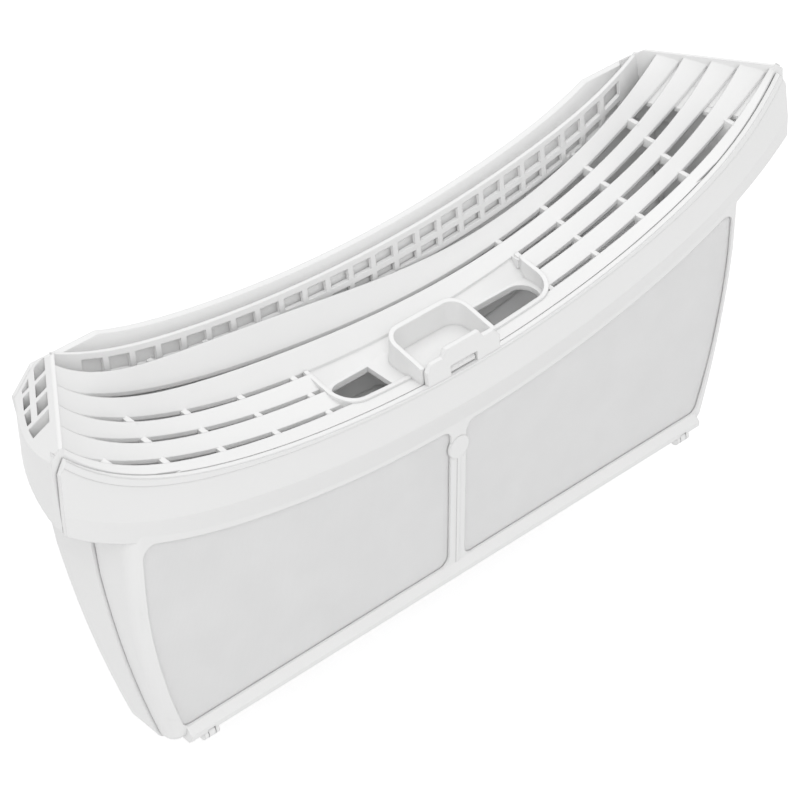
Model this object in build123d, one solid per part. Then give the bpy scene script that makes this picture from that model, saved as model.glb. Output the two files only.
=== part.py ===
from build123d import *
import math
import os

# Lint filter of a tumble dryer: a hanging collar with a louvred top, a rear half and a hinged front flap.
# Millimetres, +Z up, +X along the length, the flap faces -Y.

# Overall sizes
rim_length = 320.0
plateau_height = 138.0
collar_height = 28.0
wall = 2.0
running_gap = 0.4

# Shell outline seen from the front, drawn in from the rim's ends
side_inset = 22.0
waist_inset = 3.4
bottom_inset = 12.0
side_straight_from = 72.0
side_waist_height = 40.0
bottom_corner = 5.0
front_corner = 5.0

# Depths of the shell at its bottom edge, and how they lean back with height
panel_front = 2.5
panel_thick = 2.4
parting_foot = 9.0
parting_lean = 0.148
parting_drop = 12.0
rear_foot = 21.5
rear_lean = 0.254
rear_proud = 1.0

# Windows and mesh
stile = 4.6
sill = 6.0
mullion_half = 3.5
window_head = 0.5
window_corner = 4.0
mesh_overlap = 1.6
mesh_thick = 0.7
mesh_recess = 1.0
mesh_fit = 0.1
boss_radius = 4.5
boss_height = 56.5
boss_proud = 0.3
boss_root = 0.8
bar_half = 0.7
bar_proud = 0.3

# Rim band of the flap
band_thick = 1.8
rim_top_depth = 0.3
rim_lean = 0.12
rim_low_depth = 3.0
rim_top_inset = 1.5
rim_top_mid = 91.2
rim_top_rise = 31.0
rim_crease_mid = 78.0
rim_crease_rise = 30.0
rim_crease_end_drop = 20.5
rim_low_mid = 65.8
rim_low_rise = 34.0
rim_low_end_drop = 28.3
bead_proud = 0.4
bead_drop = 0.4
bead_width = 0.8
bead_flare = 2.4
band_corner = 2.4
band_corner_fall = 1.5

# Bottom rail of the flap
rail_height = 5.0
rail_bevel = 1.5

# Hinge
hinge_inset = 13.5
hinge_depth = 2.0
hinge_drop = 0.2
hinge_eye_radius = 2.2
hinge_pin_radius = 1.1
hinge_clearance = 0.05
hinge_side_gap = 0.3
eye_width = 2.6
ear_width = 1.4
arm_thick = 1.6
arm_bite = 4.0

# Louvre slats, from the lattice forward to the front strip
slat_depths = (42.0, 34.1, 26.0, 17.8, 9.2)
slat_mids = (105.0, 98.5, 94.6, 92.6, 90.8)
slat_hook_share = 0.33
slat_skews = (5.0, 2.0, 0.0, 0.0, 0.0)
slat_thick = 1.8
slot_width = 2.3
slot_flare = 3.4
slot_taper = 12
slot_end_share = 0.9
slot_step = 0.8
ridge_inset = 27.1
ridge_depth = 41.9
ridge_slope = 0.685
ridge_end = 46.0
ridge_fall = 0.8
rib_half = 1.0
rib_height = 3.5
rib_pitch = 22.0
rib_first = 50.1
rib_bite = 0.6
rib_rear_from = -40.0
link_drop = 2.0
web_length = 14.0
skirt_drop = 1.4

# Lattice behind the slats
lattice_mid = 114.9
lattice_rise = 16.5
lattice_depth = 45.0
lattice_lean = 0.14
lattice_height = 14.0
lattice_thick = 1.4
lattice_pitch = 10.0
lattice_end = 8.0
lattice_end_drop = 1.6
lattice_bar = 2.2
hole_first_height = 4.2
hole_growth = 1.6
hole_second_height = 3.2

# Rear wall's top edge: a shallow curve that levels off and runs on behind the end caps
rear_top_mid = 117.6
rear_top_rise = 13.6
rear_top_hook = 3.4
rear_top_inset = 43.0
rear_top_drop = 7.0
rear_end_inset = 18.5
rear_fit = 0.1

# End caps, which fall away outwards from the ridge where the slats end
cap_arc_from = 9.0
cap_arc_inset = 6.3
cap_arc_depth = 29.6
cap_corner_inset = 15.6
cap_corner_depth = 46.5
cap_rear_inset = 18.9
cap_rear_depth = 52.6
cap_lip = 0.8
cap_flat = 0.6
cap_fall = 1.1
cap_relief = 2.5
pocket_start = 2.5
pocket_split = 5.9
pocket_rib = 2.0
pocket_rows = (8.0, -0.8, -9.3, -18.0, -26.0)

# Handle cup, finger wells and latch
zone_left = 44.0
zone_right = 50.0
zone_corner = 8.0
zone_wall = 1.7
ring_proud = 0.8
deck_top = 91.0
deck_thick = 2.0
well_inner = 23.0
well_edge = 2.2
well_front = 9.8
well_rear = 22.4
well_corner = 5.8
cup_half = 17.0
cup_rear = 23.0
cup_corner = 7.0
cup_front_height = 96.5
cup_rear_height = 101.2
tab_half = 16.2
tab_shoulder_half = 14.0
tab_step_half = 9.0
tab_crown_half = 7.5
tab_foot = 88.0
tab_side_height = 96.2
tab_shoulder_height = 98.8
tab_height = 101.4
catch_slot_half = 6.0
catch_slot_low = 91.0
catch_slot_high = 94.6
catch_gap = 0.5
catch_proud = 1.4
apron_height = 9.0

rim_half = rim_length / 2
side_half = rim_half - side_inset
side_waist_half = side_half - waist_inset
bottom_half = side_half - bottom_inset
hinge_x = bottom_half - hinge_inset
ridge_x = rim_half - ridge_inset
rear_end = rim_half - rear_end_inset
rear_top_height = plateau_height - rear_top_drop
collar_foot = plateau_height - collar_height
parting_top = collar_foot - parting_drop
ridge_length = math.hypot(1, ridge_slope)
foot_drop = hinge_drop + hinge_eye_radius
hook_power = 8
skew_peak = 0.286
stations = (-1.0, -0.86, -0.62, -0.32, 0.0, 0.32, 0.62, 0.86, 1.0)
past = 40.0
far = 2 * plateau_height


class Arch:
    """A curve over the length, level in the middle and turning up towards both ends."""

    def __init__(self, mid, rise, hook, reach, skew=0.0):
        self.mid = mid
        self.rise = rise
        self.hook = hook
        self.reach = reach
        self.skew = skew

    def height(self, x):
        share = x / self.reach
        lean = share * (1 - share**2) ** 2 / skew_peak
        return self.mid + self.rise * share**2 + self.hook * abs(share) ** hook_power - self.skew * lean

    def edge(self, depth, drop=0.0, half=None, flare=None):
        points = []
        for station in stations:
            x = station * (half or self.reach)
            z = self.height(x) - drop
            y = depth(z)
            if flare:
                y = y + flare(abs(x) / self.reach)
            points.append((x, y, z))
        return Edge.make_spline([Vector(*point) for point in points])


def level(depth):
    return lambda z: depth


def rim_depth(z):
    return rim_top_depth + rim_lean * (z - rim_top.mid)


def body_front(z):
    return rim_depth(z) + band_thick + running_gap


def parting(z):
    return parting_foot + parting_lean * z


def rear(z):
    return rear_foot + rear_lean * z


def ridge(depth):
    return ridge_x + ridge_slope * (ridge_depth - depth)


def sheet(first, second, thick, direction):
    face = Face.make_surface_from_curves(first, second)
    return Solid.extrude(face, Vector(*direction) * thick)


def chain(points):
    return Wire.make_polygon([Vector(*point) for point in points], close=True)


def along_y(wire, start, end):
    face = Face(wire).moved(Location((0, start, 0)))
    return Solid.extrude(face, Vector(0, end - start, 0))


def along_x(wire, start, end):
    face = Face(wire).moved(Location((start, 0, 0)))
    return Solid.extrude(face, Vector(end - start, 0, 0))


def along_z(wire, start, end):
    face = Face(wire).moved(Location((0, 0, start)))
    return Solid.extrude(face, Vector(0, 0, end - start))


def box(x0, x1, y0, y1, z0, z1):
    size = Box(x1 - x0, y1 - y0, z1 - z0, align=Align.MIN)
    return Pos(x0, y0, z0) * size


def rod(radius, x0, x1, y, z):
    return Pos((x0 + x1) / 2, y, z) * Rot(0, 90, 0) * Cylinder(radius, abs(x1 - x0))


def both(solid):
    return [solid, mirror(solid, about=Plane.YZ)]


def ending(mid, rise, end, reach):
    """An arch whose ends come out at a given height."""
    return Arch(mid, rise, end - mid - rise, reach)


rim_top = ending(rim_top_mid, rim_top_rise, plateau_height, rim_half - rim_top_inset)
rim_crease = ending(rim_crease_mid, rim_crease_rise, plateau_height - rim_crease_end_drop, rim_half)
rim_low = ending(rim_low_mid, rim_low_rise, plateau_height - rim_low_end_drop, rim_half)
bead_mid = rim_top.mid - bead_drop - bead_width
bead_foot = Arch(bead_mid, rim_top.rise - bead_flare, rim_top.hook, rim_top.reach)
lattice_end_height = plateau_height - lattice_end_drop
lattice_reach = ridge(lattice_depth + lattice_lean * (lattice_end_height - lattice_mid))
lattice_top = ending(lattice_mid, lattice_rise, lattice_end_height, lattice_reach)
rear_top = Arch(rear_top_mid, rear_top_rise, rear_top_hook, rim_half - rear_top_inset)
crests = []
for crest_mid, crest_depth, crest_skew in zip(slat_mids, slat_depths, slat_skews):
    climb = plateau_height - crest_mid
    hook = climb * slat_hook_share
    crests.append(Arch(crest_mid, climb - hook, hook, ridge(crest_depth), crest_skew))


def outline(inset, foot, top):
    """Closed outline of the shell from the front: a drawn-in foot, straight sides, an arched or level top."""
    side = side_half - inset
    waist = side_waist_half - inset
    base = bottom_half - inset
    edges = [Edge.make_line((-base, 0, foot), (base, 0, foot))]
    edges.append(Edge.make_three_point_arc((base, 0, foot), (waist, 0, side_waist_height),
                                           (side, 0, side_straight_from)))
    if isinstance(top, Arch):
        high = top.height(side)
        edges.append(top.edge(level(0), half=side))
    else:
        high = top
        edges.append(Edge.make_line((side, 0, high), (-side, 0, high)))
    edges.append(Edge.make_line((side, 0, side_straight_from), (side, 0, high)))
    edges.append(Edge.make_line((-side, 0, high), (-side, 0, side_straight_from)))
    edges.append(Edge.make_three_point_arc((-side, 0, side_straight_from), (-waist, 0, side_waist_height),
                                           (-base, 0, foot)))
    return Wire(edges)


def windows(grow, start, end, slack=0.0):
    """The two window openings, grown all round by the seat of the mesh and taken straight through."""
    edge = grow - slack
    raised = Arch(rim_low.mid - window_head + edge, rim_low.rise, rim_low.hook, rim_low.reach)
    block = Part() + along_y(outline(stile - edge, sill - edge, raised), start, end)
    half = mullion_half - edge
    block = block - box(-half, half, start - 1, end + 1, -past, plateau_height)
    corners = [line for line in block.edges() if abs((line @ 1 - line @ 0).Y) > line.length / 2]
    block = fillet(corners, window_corner + edge)
    return sorted(block.solids(), key=lambda pane: pane.center().X)


def rear_slab(front_offset, thick):
    """A slab that leans with the rear wall, a given way in from its outer face."""
    points = []
    rear_offset = front_offset + thick
    for z, offset in ((-past, rear_offset), (-past, front_offset), (far, front_offset), (far, rear_offset)):
        points.append((0, rear(z) - offset, z))
    return along_x(chain(points), -rim_length, rim_length)


def flap_frame():
    block = Part() + along_y(outline(0, 0, rim_crease), panel_front, rear(0) + past)
    block = fillet(block.edges().filter_by(Axis.Y).group_by(Axis.Z)[0], bottom_corner)
    nose = block.faces().sort_by(Axis.Y)[0]
    keep = nose.edges().sort_by(Axis.Z)[-1]
    block = fillet([edge for edge in nose.edges() if edge.center() != keep.center()], front_corner)
    panel_back = panel_front + panel_thick
    cavity = along_y(outline(wall, wall, plateau_height), panel_back, rear(0) + 2 * past)
    tray = block - cavity
    reach = parting_top - running_gap
    swing = math.hypot(parting(reach) - hinge_depth, reach + hinge_drop)
    side = [(0, panel_front - past, -past), (0, parting(-past) - running_gap, -past)]
    side.append((0, parting(far) - running_gap, far))
    side.append((0, panel_front - past, far))
    tray = tray & along_x(chain(side), -rim_length, rim_length)
    panel = box(-rim_length, rim_length, -past, panel_back, -past, far)
    tray = (tray & panel) + (tray & rod(swing, -rim_length, rim_length, hinge_depth, -hinge_drop))
    rail = [(0, 0, rail_bevel), (0, rail_bevel, 0), (0, panel_back, 0)]
    rail = rail + [(0, panel_back, sill), (0, panel_front, sill), (0, 0, rail_height - rail_bevel)]
    rail_half = bottom_half - bottom_corner
    frame = tray + along_x(chain(rail), -rail_half, rail_half)
    low = rim_low.edge(level(rim_low_depth))
    crease = rim_crease.edge(rim_depth)
    crown = rim_top.edge(rim_depth)
    frame = frame + sheet(low, crease, band_thick, (0, 1, 0)) + sheet(crease, crown, band_thick, (0, 1, 0))
    bead_top = rim_top.edge(lambda z: rim_depth(z) - bead_proud, bead_drop)
    bead_low = bead_foot.edge(lambda z: rim_depth(z) - bead_proud)
    frame = frame + sheet(bead_top, bead_low, bead_proud + band_thick / 2, (0, 1, 0))
    tip = rim_top.reach - band_corner
    high = rim_top.height(tip)
    low = high - band_corner_fall * (rim_length - tip)
    corner = [(tip, 0, high), (rim_length, 0, low), (rim_length, 0, far), (tip, 0, far)]
    frame = frame - both(along_y(chain(corner), -past, past))
    frame = frame - windows(0, -past, rear(0) + past)
    frame = frame - windows(mesh_overlap, panel_front + mesh_recess, rear(0) + past)
    boss = Cylinder(boss_radius, boss_proud + boss_root, align=(Align.CENTER, Align.CENTER, Align.MIN))
    frame = frame + Pos(0, panel_front + boss_root, boss_height) * Rot(90, 0, 0) * boss
    bar_front = panel_front - bar_proud
    frame = frame + box(-bar_half, bar_half, bar_front, panel_front + bar_proud, rail_height, boss_height)
    tab = []
    for x, z in ((tab_half, tab_foot), (tab_half, tab_side_height), (tab_shoulder_half, tab_shoulder_height),
                 (tab_step_half, tab_shoulder_height), (tab_crown_half, tab_height)):
        tab.append((x, 0, z))
    tab = tab + [(-x, y, z) for x, y, z in reversed(tab)]
    lean_slab = [(0, rim_depth(z) + offset, z) for z, offset in
                 ((tab_foot, band_thick), (tab_foot, 0), (tab_height + 1, 0), (tab_height + 1, band_thick))]
    plate = along_y(chain(tab), -past, past) & along_x(chain(lean_slab), -rim_half, rim_half)
    frame = frame + plate
    frame = frame - box(-catch_slot_half, catch_slot_half, -past, past, catch_slot_low, catch_slot_high)
    eye_half = eye_width / 2 + hinge_side_gap
    notch = hinge_eye_radius + hinge_side_gap
    for x in (-hinge_x, hinge_x):
        front = hinge_depth - notch
        back = hinge_depth + notch
        frame = frame - box(x - eye_half, x + eye_half, front, back, -past, notch - hinge_drop)
        for inner, outer in ((eye_half, eye_half + ear_width), (-eye_half, -eye_half - ear_width)):
            ear = rod(hinge_eye_radius, x + inner, x + outer, hinge_depth, -hinge_drop)
            low = x + min(inner, outer)
            front = hinge_depth - rail_bevel / 2
            back = hinge_depth + hinge_eye_radius
            ear = ear + box(low, low + ear_width, front, back, -hinge_drop, rail_bevel)
            frame = frame + ear
        frame = frame + rod(hinge_pin_radius, x - eye_half, x + eye_half, hinge_depth, -hinge_drop)
    return frame


def front_mesh():
    start = panel_front + mesh_recess
    return windows(mesh_overlap, start, start + mesh_thick, mesh_fit)


def rear_frame():
    shell = Part() + along_y(outline(-rear_proud, 0, collar_foot), -past, 2 * past)
    shell = fillet(shell.edges().filter_by(Axis.Y).group_by(Axis.Z)[0], bottom_corner)
    ring = shell - along_y(outline(wall - rear_proud, wall, plateau_height), -2 * past, 3 * past)
    swing = math.hypot(parting(parting_top) - hinge_depth, parting_top + hinge_drop)
    band = [(0, parting(-past), -past), (0, parting(far), far), (0, rear(far), far), (0, rear(-past), -past)]
    upper = []
    for z in (parting_top, collar_foot):
        upper.append((0, body_front(z) + panel_thick, z))
    for z in (collar_foot, parting_top):
        upper.append((0, body_front(z) + past, z))
    front = along_x(chain(upper), -rim_length, rim_length)
    front = front - rod(swing, -rim_length, rim_length, hinge_depth, -hinge_drop)
    sides = (ring & along_x(chain(band), -rim_length, rim_length)) + (ring & front)
    sides = sides & rear_slab(0, 2 * past)
    high = rear_top.height(rear_top.reach)
    side = side_half + rear_proud
    corners = [(rear_top.reach, 0, high), (rear_end, 0, high), (rear_end, 0, collar_foot)]
    corners = corners + [(side, 0, collar_foot), (side, 0, collar_foot - side_inset)]
    corners = corners + [(-x, y, z) for x, y, z in reversed(corners)]
    crown = [rear_top.edge(level(0))]
    for start, end in zip(corners, corners[1:]):
        crown.append(Edge.make_line(start, end))
    upper = Part() + along_y(Wire(crown), -past, 2 * past)
    upper = upper - box(-rim_half, rim_half, -past, 2 * past, rear_top_height, far)
    upper = upper - both(fall_away())
    back = (shell + upper) & rear_slab(0, panel_thick)
    back = back - windows(0, -past, 2 * past)
    seat = rear_slab(panel_thick - mesh_recess, past)
    for pane in windows(mesh_overlap, -past, 2 * past):
        back = back - (pane & seat)
    frame = sides + back
    for x in (-hinge_x, hinge_x):
        arm = rod(hinge_eye_radius, x - eye_width / 2, x + eye_width / 2, hinge_depth, -hinge_drop)
        low = x - eye_width / 2
        high = x + eye_width / 2
        end = parting_foot + arm_bite
        arm = arm + box(low, high, hinge_depth, end, -foot_drop, arm_thick - foot_drop)
        arm = arm + box(low, high, parting_foot + running_gap, end, -foot_drop, wall / 2)
        bore = hinge_pin_radius + hinge_clearance
        frame = frame + (arm - rod(bore, x - eye_width, x + eye_width, hinge_depth, -hinge_drop))
    return frame


def rear_mesh():
    start = panel_thick - mesh_recess
    slab = rear_slab(start, mesh_thick)
    return [pane & slab for pane in windows(mesh_overlap, -past, 2 * past, mesh_fit)]


def off_ridge(u, w, z):
    """A point given by its way along the right-hand ridge and outwards from it."""
    x = ridge_x + (w - u * ridge_slope) / ridge_length
    y = ridge_depth + (w * ridge_slope + u) / ridge_length
    return (x, y, z)


def fall_away():
    """All the room above the right-hand end, which falls away outwards from the ridge."""
    low = plateau_height - cap_fall * past
    points = [off_ridge(-2 * past, w, z) for w, z in
              ((cap_flat, plateau_height), (cap_flat + past, low), (cap_flat + past, plateau_height + past),
               (cap_flat, plateau_height + past))]
    along = Vector(*off_ridge(4 * past, 0, 0)) - Vector(*off_ridge(0, 0, 0))
    return Solid.extrude(Face(chain(points)), along)


def drop_back():
    """All the room above the rear ends of the ridges, which drop towards the rear wall."""
    points = [(0, ridge_end, plateau_height), (0, ridge_end + past, plateau_height - ridge_fall * past)]
    points = points + [(0, ridge_end + past, far), (0, ridge_end, far)]
    return along_x(chain(points), -rim_length, rim_length)


def cap_wire(inset):
    """Plan of one end cap, drawn in by an inset."""
    out = rim_half - inset
    lip = cap_lip - inset * ridge_length
    tip = Vector(out, ridge_depth - (out + lip - ridge_x) / ridge_slope, 0)
    shoulder = Vector(out, cap_arc_from, 0)
    bulge = Vector(out - cap_arc_inset, cap_arc_depth, 0)
    corner = Vector(out - cap_corner_inset, cap_corner_depth - inset / 2, 0)
    back = Vector(out - cap_rear_inset, cap_rear_depth - inset, 0)
    inner = Vector(ridge(cap_rear_depth - inset) - lip, cap_rear_depth - inset, 0)
    edges = [Edge.make_line(tip, shoulder), Edge.make_three_point_arc(shoulder, bulge, corner)]
    for start, end in ((corner, back), (back, inner), (inner, tip)):
        edges.append(Edge.make_line(start, end))
    return Wire(edges)


def pocket(row_start, row_end, from_w, to_w):
    """Plan of one pocket between two ribs square to the ridge."""
    corners = ((row_start, from_w), (row_end, from_w), (row_end, to_w), (row_start, to_w))
    return chain([off_ridge(u, w, 0) for u, w in corners])


def end_cap():
    outer = Part() + along_z(cap_wire(0), collar_foot, plateau_height)
    cap = outer - fall_away() - drop_back() - rear_slab(-past, past + panel_thick + rear_fit)
    core = Part() + along_z(cap_wire(wall), collar_foot + wall, plateau_height + past)
    core = core - rear_slab(-past, past + panel_thick + rear_fit + wall)
    half = pocket_rib / 2
    for number, (start, end) in enumerate(zip(pocket_rows, pocket_rows[1:])):
        spans = [(pocket_start, past)]
        if number < len(pocket_rows) - 2:
            spans = [(pocket_start, pocket_split), (pocket_split + pocket_rib, past)]
        for from_w, to_w in spans:
            hole = pocket(start - half, end + half, from_w, to_w)
            cap = cap - (along_z(hole, collar_foot, plateau_height + past) & core)
    return cap


def rounded(x0, x1, y0, y1, z0, z1, radius, picks):
    """A block with chosen upright corners rounded."""
    block = box(x0, x1, y0, y1, z0, z1)
    corners = block.edges().filter_by(Axis.Z)
    chosen = []
    for edge in corners:
        middle = edge.center()
        if (middle.X > (x0 + x1) / 2, middle.Y > (y0 + y1) / 2) in picks:
            chosen.append(edge)
    return fillet(chosen, radius)


def front_wedge():
    """All the room in front of the collar that the closed flap's rim takes up."""
    points = [(0, body_front(z) + offset, z) for z, offset in
              ((-past, -2 * past), (far, -2 * past), (far, 0), (-past, 0))]
    return along_x(chain(points), -rim_length, rim_length)


def slot_open(share):
    """Width of a slot at a share of its length: wider outwards, then nearly closed at the ridge."""
    return (slot_width + slot_flare * share**2) * (1 - slot_end_share * share**slot_taper)


def slat_lip(number, past_lip=0.0, drop=0.0):
    """Front edge of a slat, one slot behind the next crest."""
    depth = slat_depths[number + 1] + past_lip
    return crests[number + 1].edge(level(depth), slot_step + drop, flare=slot_open)


def gap_ribs(number):
    """Short ribs and end webs that bridge the slot in front of one slat."""
    crest = crests[number + 1]
    start = slat_depths[number + 1] - rib_bite
    clear = crest.reach - web_length
    ribs = []
    x = rib_first
    while x < clear:
        end = slat_depths[number + 1] + slot_open(x / crest.reach) + rib_bite
        for place in (x, -x):
            if number or place > rib_rear_from:
                top = crest.height(place) - slot_step
                ribs.append(box(place - rib_half, place + rib_half, start, end, top - rib_height, top))
        x = x + rib_pitch
    web_front = crest.edge(level(start), slat_thick)
    web = sheet(web_front, slat_lip(number, rib_bite, slat_thick), slat_thick, (0, 0, -1))
    ribs.append(Part() + web - box(-clear, clear, -past, 2 * past, -past, far))
    return ribs


def lattice_face(z):
    return lattice_depth + lattice_lean * (z - lattice_mid)


def lattice():
    top = lattice_top.edge(lattice_face)
    foot = lattice_top.edge(lattice_face, lattice_height)
    plate = Part() + sheet(top, foot, lattice_thick, (0, 1, 0))
    half = (lattice_pitch - lattice_bar) / 2
    holes = []
    for column in range(int((lattice_reach - lattice_end) / lattice_pitch)):
        middle = (column + 0.5) * lattice_pitch
        tall = hole_first_height + hole_growth * (middle / lattice_reach) ** 2
        for drop, height in ((lattice_bar, tall), (2 * lattice_bar + tall, hole_second_height)):
            points = []
            for x, fall in ((middle - half, drop), (middle + half, drop), (middle + half, drop + height),
                            (middle - half, drop + height)):
                points.append((x, 0, lattice_top.height(x) - fall))
            holes = holes + both(along_y(chain(points), 0, 2 * past))
    return plate - holes


def lattice_links():
    """Short ribs between the lattice and the rearmost crest."""
    links = []
    x = rib_first - rib_pitch
    while x < lattice_reach - lattice_end - web_length:
        for place in (x, -x):
            top = crests[0].height(place) - link_drop
            start = slat_depths[0] - rib_bite
            end = lattice_face(top) + rib_bite
            links.append(box(place - rib_half, place + rib_half, start, end, top - rib_height, top))
        x = x + rib_pitch
    return links


def joined(pieces):
    """All pieces fused, one after another."""
    whole = Part() + pieces[0]
    for piece in pieces[1:]:
        whole = whole + piece
    return whole


def zone():
    """All the room over the handle and the finger wells, kept clear of slats."""
    end = slat_depths[2] + slot_width
    front_corners = ((False, False), (True, False))
    return rounded(-zone_left, zone_right, slat_depths[-1], end, -past, far, zone_corner, front_corners)


def handle():
    """Deck with its two finger wells, the wells' outer walls, the sloping back and the handle cup."""
    foot = deck_top - deck_thick
    high = deck_top + past / 2
    zone_rear = slat_depths[2] + slot_width
    front_corners = ((False, False), (True, False))
    rear_corners = ((False, True), (True, True))
    left = -zone_left - zone_wall
    right = zone_right + zone_wall
    front = slat_depths[-1] - zone_wall
    ring = rounded(left, right, front, zone_rear, foot, high, zone_corner + zone_wall, front_corners)
    ring = ring - zone()
    deck = rounded(left, right, -past, well_rear + deck_thick, foot, deck_top, zone_wall, rear_corners)
    slope_top = crests[2].edge(level(zone_rear + rib_bite), 2 * slot_step, right)
    slope_low = deck_top - slot_step
    slope_foot = Edge.make_line((-right, well_rear, slope_low), (right, well_rear, slope_low))
    slope = Part() + sheet(slope_top, slope_foot, slat_thick, (0, 0, -1))
    slope = slope - box(-rim_half, left, -past, 2 * past, -past, plateau_height)
    lip = crests[-1].edge(level(slat_depths[-1]), -ring_proud)
    roof = sheet(slat_lip(1, 0, -ring_proud), lip, past, (0, 0, 1))
    strip_roof = sheet(lip, rim_top.edge(body_front, -ring_proud), past, (0, 0, 1))
    ring = ring - roof - strip_roof
    body = ring + deck + slope
    right_corners = ((True, False), (True, True))
    left_corners = ((False, False), (False, True))
    end = zone_right - well_edge
    body = body - rounded(well_inner, end, well_front, well_rear, -past, high, well_corner, right_corners)
    end = well_edge - zone_left
    body = body - rounded(end, -well_inner, well_front, well_rear, -past, high, well_corner, left_corners)
    cup = rounded(-cup_half, cup_half, -past, cup_rear, foot, high, cup_corner, rear_corners)
    inside = cup_half - zone_wall
    end = cup_rear - zone_wall
    corner = cup_corner - zone_wall
    cup = cup - rounded(-inside, inside, -2 * past, end, deck_top, high + 1, corner, rear_corners)
    slant = (cup_rear_height - cup_front_height) / cup_rear
    lid = [(0, -past, cup_front_height - slant * past), (0, 2 * past, cup_front_height + slant * 2 * past)]
    lid = lid + [(0, 2 * past, 2 * high), (0, -past, 2 * high)]
    return body + (cup - along_x(chain(lid), -rim_half, rim_half))


def catch():
    """Nose in the slot of the flap's latch tab, standing on the deck."""
    low = catch_slot_low + catch_gap
    high = catch_slot_high - catch_gap
    tip = body_front(low) - catch_proud
    root = body_front(low) + wall
    half = catch_slot_half - catch_gap
    points = [(0, tip, low), (0, root, low), (0, root, deck_top - deck_thick / 2)]
    points = points + [(0, cup_corner, deck_top - deck_thick / 2), (0, cup_corner, high), (0, root, high)]
    points.append((0, tip, (low + high) / 2))
    return along_x(chain(points), -half, half)


def skirt():
    """Wall under the slats' right-hand ends, which carries the pocket's side wall on up to the slats."""
    outer = side_half + rear_proud
    inner = outer - wall
    front = body_front(collar_foot) + wall / 2
    points = [(0, front, collar_foot), (0, front, rim_top.height(inner) - skirt_drop)]
    for depth, crest in zip(slat_depths[:0:-1], crests[:0:-1]):
        top = crest.height(inner) - skirt_drop
        lip = depth + slot_open(inner / crest.reach) + rib_bite
        points.append((0, depth - rib_bite, top))
        points.append((0, lip, top - slot_step))
    points.append((0, lip, collar_foot))
    return along_x(chain(points), inner, outer)


def top_grille():
    slats = []
    for number in range(len(crests) - 1):
        crest = crests[number].edge(level(slat_depths[number]))
        slats.append(sheet(crest, slat_lip(number), slat_thick, (0, 0, -1)))
    louvre = joined([slats[2], slats[3]] + gap_ribs(2) + gap_ribs(3)) - zone()
    back = joined([slats[0], slats[1]] + gap_ribs(0) + gap_ribs(1) + lattice_links())
    strip_front = rim_top.edge(lambda z: body_front(z) - wall / 2)
    strip = sheet(crests[-1].edge(level(slat_depths[-1])), strip_front, slat_thick, (0, 0, -1))
    apron_top = rim_top.edge(lambda z: body_front(z) - wall, slat_thick / 2)
    apron_foot = rim_top.edge(lambda z: body_front(z) - wall, apron_height)
    apron = sheet(apron_top, apron_foot, 2 * wall, (0, 1, 0))
    relief = box(-rim_half, rim_half, -past, rim_low_depth + band_thick + running_gap, collar_foot - 1,
                 collar_foot + cap_relief)
    collar = joined([strip, apron, handle()] + both(end_cap()) + both(skirt())) - front_wedge() - relief
    return joined([collar, louvre, back, lattice(), catch()])


front_most = rim_depth(rim_crease.mid)
rear_most = rear(rear_top_height)
shift = Pos(0, -(front_most + rear_most) / 2, foot_drop)

os.makedirs("parts", exist_ok=True)
export_step(shift * flap_frame(), "parts/flap_frame.step")
for side, pane in zip(("left", "right"), front_mesh()):
    export_step(shift * pane, "parts/mesh_front_" + side + ".step")
export_step(shift * rear_frame(), "parts/rear_frame.step")
for side, pane in zip(("left", "right"), rear_mesh()):
    export_step(shift * pane, "parts/mesh_rear_" + side + ".step")
export_step(shift * top_grille(), "parts/top_grille.step")
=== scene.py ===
import bpy
import math
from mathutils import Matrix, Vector, noise


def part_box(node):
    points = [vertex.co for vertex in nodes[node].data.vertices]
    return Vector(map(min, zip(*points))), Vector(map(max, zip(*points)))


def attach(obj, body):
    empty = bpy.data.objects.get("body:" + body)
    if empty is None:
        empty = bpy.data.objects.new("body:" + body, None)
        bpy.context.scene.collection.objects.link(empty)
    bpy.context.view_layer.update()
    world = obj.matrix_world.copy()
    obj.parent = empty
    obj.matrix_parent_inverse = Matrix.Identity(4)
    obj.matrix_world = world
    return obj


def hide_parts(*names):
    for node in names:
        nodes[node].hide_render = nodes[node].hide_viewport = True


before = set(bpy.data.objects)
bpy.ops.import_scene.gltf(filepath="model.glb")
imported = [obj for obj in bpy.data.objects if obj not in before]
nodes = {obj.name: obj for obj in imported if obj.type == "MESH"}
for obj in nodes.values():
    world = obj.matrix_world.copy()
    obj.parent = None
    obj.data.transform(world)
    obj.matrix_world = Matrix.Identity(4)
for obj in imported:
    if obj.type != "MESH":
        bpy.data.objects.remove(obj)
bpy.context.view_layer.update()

# Colours, linear
plastic_white = (0.83, 0.83, 0.828)
# Painted highlight colour for outer edges
painted_highlight_white = (0.94, 0.94, 0.94)
# Painted shade colour for narrow gaps and crevices
painted_shade_grey = (0.45, 0.45, 0.45)
mesh_thread = (0.93, 0.93, 0.93)
mesh_hole = (0.85, 0.85, 0.85)
floor_bounce = (0.8, 0.8, 0.8)
floor_near = (1.12, 1.12, 1.12)
floor_far = (1.4, 1.4, 1.4)
room_white = (1.0, 1.0, 1.0)

# Moulded plastic: noise scales in cells per metre, lengths in metres
cloud_scale = 35.0
cloud_detail = 3.0
cloud_tint = (0.985, 1.015)
plastic_roughness = (0.36, 0.50)
grain_scale = 2600.0
grain_detail = 2.0
grain_strength = 0.10
grain_depth = 0.0002
edge_radius = 0.0005
# Strength of the painted edge highlight
painted_highlight_gain = 3.5
gap_width = 0.0016
gap_power = 2.0
ray_samples = 6

# Woven mesh, in the same units
weave_pitch = 0.0005
# At a scale of 1 the wave texture turns through this many radians in each metre
wave_turn = 20
thread_depth = 0.0001
thread_strength = 0.25
thread_roughness = 0.55
thread_sheen = 0.15
thread_tint = (0.95, 1.04)
thread_cloud_scale = 60.0
thread_cloud_detail = 4.0
light_through = 0.25

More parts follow.
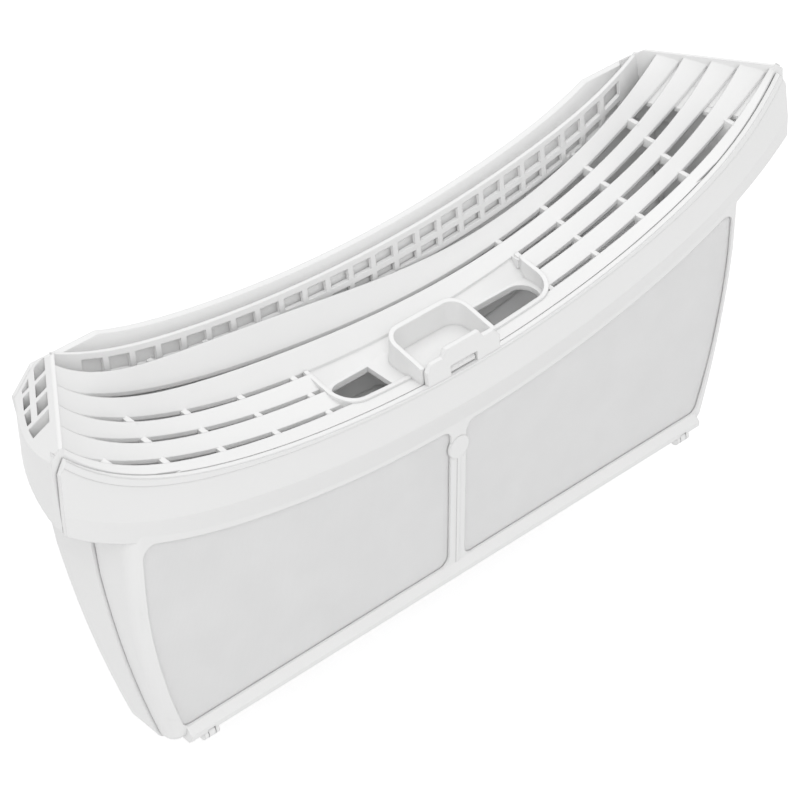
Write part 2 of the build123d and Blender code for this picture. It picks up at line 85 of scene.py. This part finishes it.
# Stretched sheets, metres
mesh_thickness = 0.0002
ripple_height = 0.00016
sheet_inset = 1e-5
columns = 96
rows = 60
# Edges that run straight up, within this much in x, are passed over
upright = 1e-9
# The ripple dies out over one part in this many, at each side of a sheet
edge_fade = 8
# Soft pulls across a sheet: radians or noise cells per metre, and how much each counts
pull_along = 230
pull_up = 150
pull_share = 0.45
cell_along = 38
cell_up = 52
cell_step = 3.1
cell_share = 0.9

# Floor, metres: below the lowest point that the open flap reaches
floor_size = 8
floor_height = -0.047
floor_near_reach = 0.3
floor_far_reach = 1.5

# Studio light: lamp places and sizes in metres, power in watts
room_level = 0.77
lamp_aim = (0, 0, 0.08)
key_place = (-0.9, -1.1, 1.5)
key_size = 1.0
key_power = 9.5
top_place = (0.5, 0.4, 1.8)
top_size = 1.2
top_power = 6.0

# Camera: millimetres for the lens and sensor, metres and degrees for the rest
camera_sensor = 36
camera_lens = 131.08
camera_place = (-0.5307, -0.567545, 0.6719)
camera_tilt = 52.0
camera_turn = -42.839

# A Mix node's sockets for colours
mix_first = 6
mix_second = 7
mix_result = 2


class Tree:
    """The node tree of a material or a world, with short ways to add and join nodes."""

    def __init__(self, owner):
        owner.use_nodes = True
        self.owner = owner
        self.nodes = owner.node_tree.nodes
        self.links = owner.node_tree.links
        self.nodes.clear()

    def add(self, kind, settings=None, **inputs):
        """A new node. An underscore in an input's name stands for a space."""
        node = self.nodes.new(kind)
        for key, value in (settings or {}).items():
            setattr(node, key, value)
        for key, value in inputs.items():
            self.put(node, key.replace("_", " "), value)
        return node

    def put(self, node, socket, value):
        """Link a socket's value, or set a plain one."""
        target = node.inputs[socket]
        if isinstance(value, bpy.types.NodeSocket):
            self.links.new(value, target)
        else:
            target.default_value = value

    def math(self, operation, first, second):
        node = self.add("ShaderNodeMath", {"operation": operation})
        self.put(node, 0, first)
        self.put(node, 1, second)
        return node.outputs[0]

    def measure(self, operation, *vectors):
        """One number from one or two vectors, such as a length or a dot product."""
        node = self.add("ShaderNodeVectorMath", {"operation": operation})
        for i, vector in enumerate(vectors):
            self.put(node, i, vector)
        return node.outputs["Value"]

    def noise(self, place, scale, detail):
        return self.add("ShaderNodeTexNoise", Vector=place, Scale=scale, Detail=detail).outputs["Fac"]

    def spread(self, value, low, high, start=0.0, end=1.0):
        """The value, taken from the range start to end to the range low to high."""
        node = self.add("ShaderNodeMapRange", Value=value, From_Min=start, From_Max=end,
                        To_Min=low, To_Max=high)
        return node.outputs["Result"]

    def blend(self, share, first, second):
        """A mix of two colours."""
        node = self.add("ShaderNodeMix", {"data_type": "RGBA"})
        self.put(node, 0, share)
        self.put(node, mix_first, first)
        self.put(node, mix_second, second)
        return node.outputs[mix_result]

    def mix(self, share, first, second):
        """A mix of two shaders."""
        node = self.add("ShaderNodeMixShader", Fac=share)
        self.put(node, 1, first.outputs[0])
        self.put(node, 2, second.outputs[0])
        return node

    def seen(self):
        """1 for the rays that show the background itself: from the camera, mirrored or through glass."""
        path = self.add("ShaderNodeLightPath").outputs
        direct = self.math("MAXIMUM", path["Is Camera Ray"], path["Is Glossy Ray"])
        return self.math("MAXIMUM", direct, path["Is Transmission Ray"])

    def finish(self, shader, output="ShaderNodeOutputMaterial"):
        self.put(self.add(output), "Surface", shader.outputs[0])
        return self.owner


def colour(rgb, share=1.0):
    return tuple(c * share for c in rgb) + (1.0,)


def moulded_plastic(name):
    """Satin white plastic: fine spark-eroded grain, faint flow clouds, softly broken edges, with painted
    highlights on outer edges and painted shade in narrow gaps.
    """
    tree = Tree(bpy.data.materials.new(name))
    place = tree.add("ShaderNodeTexCoord").outputs["Object"]
    cloud = tree.noise(place, cloud_scale, cloud_detail)
    grain = tree.noise(place, grain_scale, grain_detail)
    dull, bright = (colour(plastic_white, share) for share in cloud_tint)
    tint = tree.blend(cloud, dull, bright)
    # Painted highlight: outer edges are lightened in the colour; painted shade: narrow gaps are darkened in
    # the colour
    rounded = tree.add("ShaderNodeBevel", {"samples": ray_samples}, Radius=edge_radius).outputs["Normal"]
    sharp = tree.add("ShaderNodeNewGeometry").outputs["Normal"]
    turn = tree.math("SUBTRACT", 1.0, tree.measure("DOT_PRODUCT", rounded, sharp))
    hollow = tree.add("ShaderNodeAmbientOcclusion", {"samples": ray_samples}, Distance=gap_width)
    open_air = hollow.outputs["AO"]
    painted_edge_highlight = tree.math("MULTIPLY", tree.math("MULTIPLY", turn, open_air), painted_highlight_gain)
    tint = tree.blend(tree.math("MINIMUM", painted_edge_highlight, 1.0), tint, colour(painted_highlight_white))
    # Painted shade: the colour turns grey where ambient occlusion is strong
    shade = tree.math("POWER", tree.math("SUBTRACT", 1.0, open_air), gap_power)
    tint = tree.blend(shade, tint, colour(painted_shade_grey))
    bump = tree.add("ShaderNodeBump", Strength=grain_strength, Distance=grain_depth, Height=grain,
                    Normal=rounded)
    rough = tree.spread(cloud, *plastic_roughness)
    shader = tree.add("ShaderNodeBsdfPrincipled", Base_Color=tint, Roughness=rough,
                      Normal=bump.outputs["Normal"])
    return tree.finish(shader)


def woven_mesh(name):
    """Fine plain-weave screen: two crossing sets of threads with small darker holes between them."""
    tree = Tree(bpy.data.materials.new(name))
    place = tree.add("ShaderNodeTexCoord").outputs["Object"]
    scale = 2 * math.pi / (wave_turn * weave_pitch)
    warp = tree.add("ShaderNodeTexWave", {"bands_direction": "X"}, Vector=place, Scale=scale).outputs["Fac"]
    weft = tree.add("ShaderNodeTexWave", {"bands_direction": "Z"}, Vector=place, Scale=scale).outputs["Fac"]
    thread = tree.math("MAXIMUM", warp, weft)
    cloud = tree.noise(place, thread_cloud_scale, thread_cloud_detail)
    dull, bright = (colour(mesh_thread, share) for share in thread_tint)
    tint = tree.blend(thread, colour(mesh_hole), tree.blend(cloud, dull, bright))
    bump = tree.add("ShaderNodeBump", Strength=thread_strength, Distance=thread_depth, Height=thread)
    solid = tree.add("ShaderNodeBsdfPrincipled", Base_Color=tint, Roughness=thread_roughness,
                     Sheen_Weight=thread_sheen, Normal=bump.outputs["Normal"])
    # Light gets through the holes and lifts the shade inside the pocket
    through = tree.add("ShaderNodeBsdfTranslucent", Color=tint)
    return tree.finish(tree.mix(light_through, solid, through))


def crossings(mesh, at):
    """Lowest and highest z where the panel's outline is cut by the upright line x = at."""
    found = []
    for edge in mesh.edges:
        a, b = (mesh.vertices[i].co for i in edge.vertices)
        if (a.x - at) * (b.x - at) <= 0 and abs(a.x - b.x) > upright:
            found.append(a.z + (b.z - a.z) * (at - a.x) / (b.x - a.x))
    return min(found), max(found)


def slack(x, z, seed):
    """How far the stretched mesh stands off its plane: a few soft pulls, from about -1 to 1."""
    pulls = math.sin(x * pull_along + z * pull_up + seed) * pull_share
    return pulls + noise.noise(Vector((x * cell_along, z * cell_up, seed * cell_step))) * cell_share


def ramp(share):
    """0 at both ends of a sheet, 1 in between."""
    return min(1.0, edge_fade * share, edge_fade * (1 - share))


def mesh_sheet(node, body, seed, material):
    """A stretched sheet of woven mesh in the place of one mesh panel."""
    panel = nodes[node].data
    low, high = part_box(node)
    normal = max(panel.polygons, key=lambda p: p.area).normal
    # Middle plane of the panel: y for a given z
    sides = [v.co.y * normal.y + v.co.z * normal.z for v in panel.vertices]
    middle = (min(sides) + max(sides)) / 2
    width = high.x - low.x - 2 * sheet_inset
    points = []
    for i in range(columns + 1):
        u = i / columns
        x = low.x + sheet_inset + width * (1 - math.cos(math.pi * u)) / 2
        bottom, top = crossings(panel, x)
        for j in range(rows + 1):
            v = j / rows
            z = bottom + (top - bottom) * v
            y = (middle - z * normal.z) / normal.y
            points.append((x, y + ripple_height * ramp(u) * ramp(v) * slack(x, z, seed), z))
    step = rows + 1
    faces = [(i * step + j, (i + 1) * step + j, (i + 1) * step + j + 1, i * step + j + 1)
             for i in range(columns) for j in range(rows)]
    data = bpy.data.meshes.new(node + "_sheet")
    data.from_pydata(points, [], faces)
    data.shade_smooth()
    data.materials.append(material)
    sheet = bpy.data.objects.new(node + "_sheet", data)
    bpy.context.scene.collection.objects.link(sheet)
    thick = sheet.modifiers.new("thickness", "SOLIDIFY")
    thick.thickness = mesh_thickness
    thick.offset = 0
    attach(sheet, body)
    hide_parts(node)


def pale_floor(name):
    """White to the camera, with the object's shadow on it.

    Further out it is paler, so that it stays white where the lamps reach it less.
    """
    tree = Tree(bpy.data.materials.new(name))
    away = tree.measure("LENGTH", tree.add("ShaderNodeTexCoord").outputs["Object"])
    share = tree.spread(away, 0.0, 1.0, floor_near_reach, floor_far_reach)
    white = tree.blend(share, colour(floor_near), colour(floor_far))
    pale = tree.blend(tree.seen(), colour(floor_bounce), white)
    return tree.finish(tree.add("ShaderNodeBsdfDiffuse", Color=pale))


def studio(name):
    """An even white room, white to the camera."""
    tree = Tree(bpy.data.worlds.new(name))
    level = tree.spread(tree.seen(), room_level, 1.0)
    sky = tree.add("ShaderNodeBackground", Color=colour(room_white), Strength=level)
    return tree.finish(sky, "ShaderNodeOutputWorld")


def lamp(name, place, size, power):
    """A large round soft light, turned to the object."""
    data = bpy.data.lights.new(name, "AREA")
    data.shape = "DISK"
    data.size = size
    data.energy = power
    light = bpy.data.objects.new(name, data)
    light.location = place
    light.rotation_euler = (Vector(lamp_aim) - Vector(place)).to_track_quat("-Z", "Y").to_euler()
    bpy.context.scene.collection.objects.link(light)


# CAD nodes keep their shapes and get the moulded plastic
for node in ("top_grille", "rear_frame", "flap_frame"):
    nodes[node].data.materials.clear()
    nodes[node].data.materials.append(moulded_plastic(node + "_plastic"))

weave = woven_mesh("woven_mesh")
panels = (
    ("mesh_front_left", "flap", "flap_frame"),
    ("mesh_front_right", "flap", "flap_frame"),
    ("mesh_rear_left", "body", "rear_frame"),
    ("mesh_rear_right", "body", "rear_frame"),
)
for seed, (node, body, frame_node) in enumerate(panels, start=1):
    mesh_sheet(node, body, seed, weave)

bpy.ops.mesh.primitive_plane_add(size=floor_size, location=(0, 0, floor_height))
floor = bpy.context.object
floor.name = "floor"
floor.data.materials.append(pale_floor("floor"))

# One soft lamp from the left front and one from above
bpy.context.scene.world = studio("studio")
lamp("key", key_place, key_size, key_power)
lamp("top", top_place, top_size, top_power)

# Camera at the photograph's viewing angle
camera_data = bpy.data.cameras.new("camera")
camera_data.sensor_width = camera_sensor
camera_data.lens = camera_lens
camera = bpy.data.objects.new("camera", camera_data)
camera.location = camera_place
camera.rotation_euler = (math.radians(camera_tilt), 0, math.radians(camera_turn))
bpy.context.scene.collection.objects.link(camera)
bpy.context.scene.camera = camera

bpy.context.scene.view_settings.view_transform = "Standard"
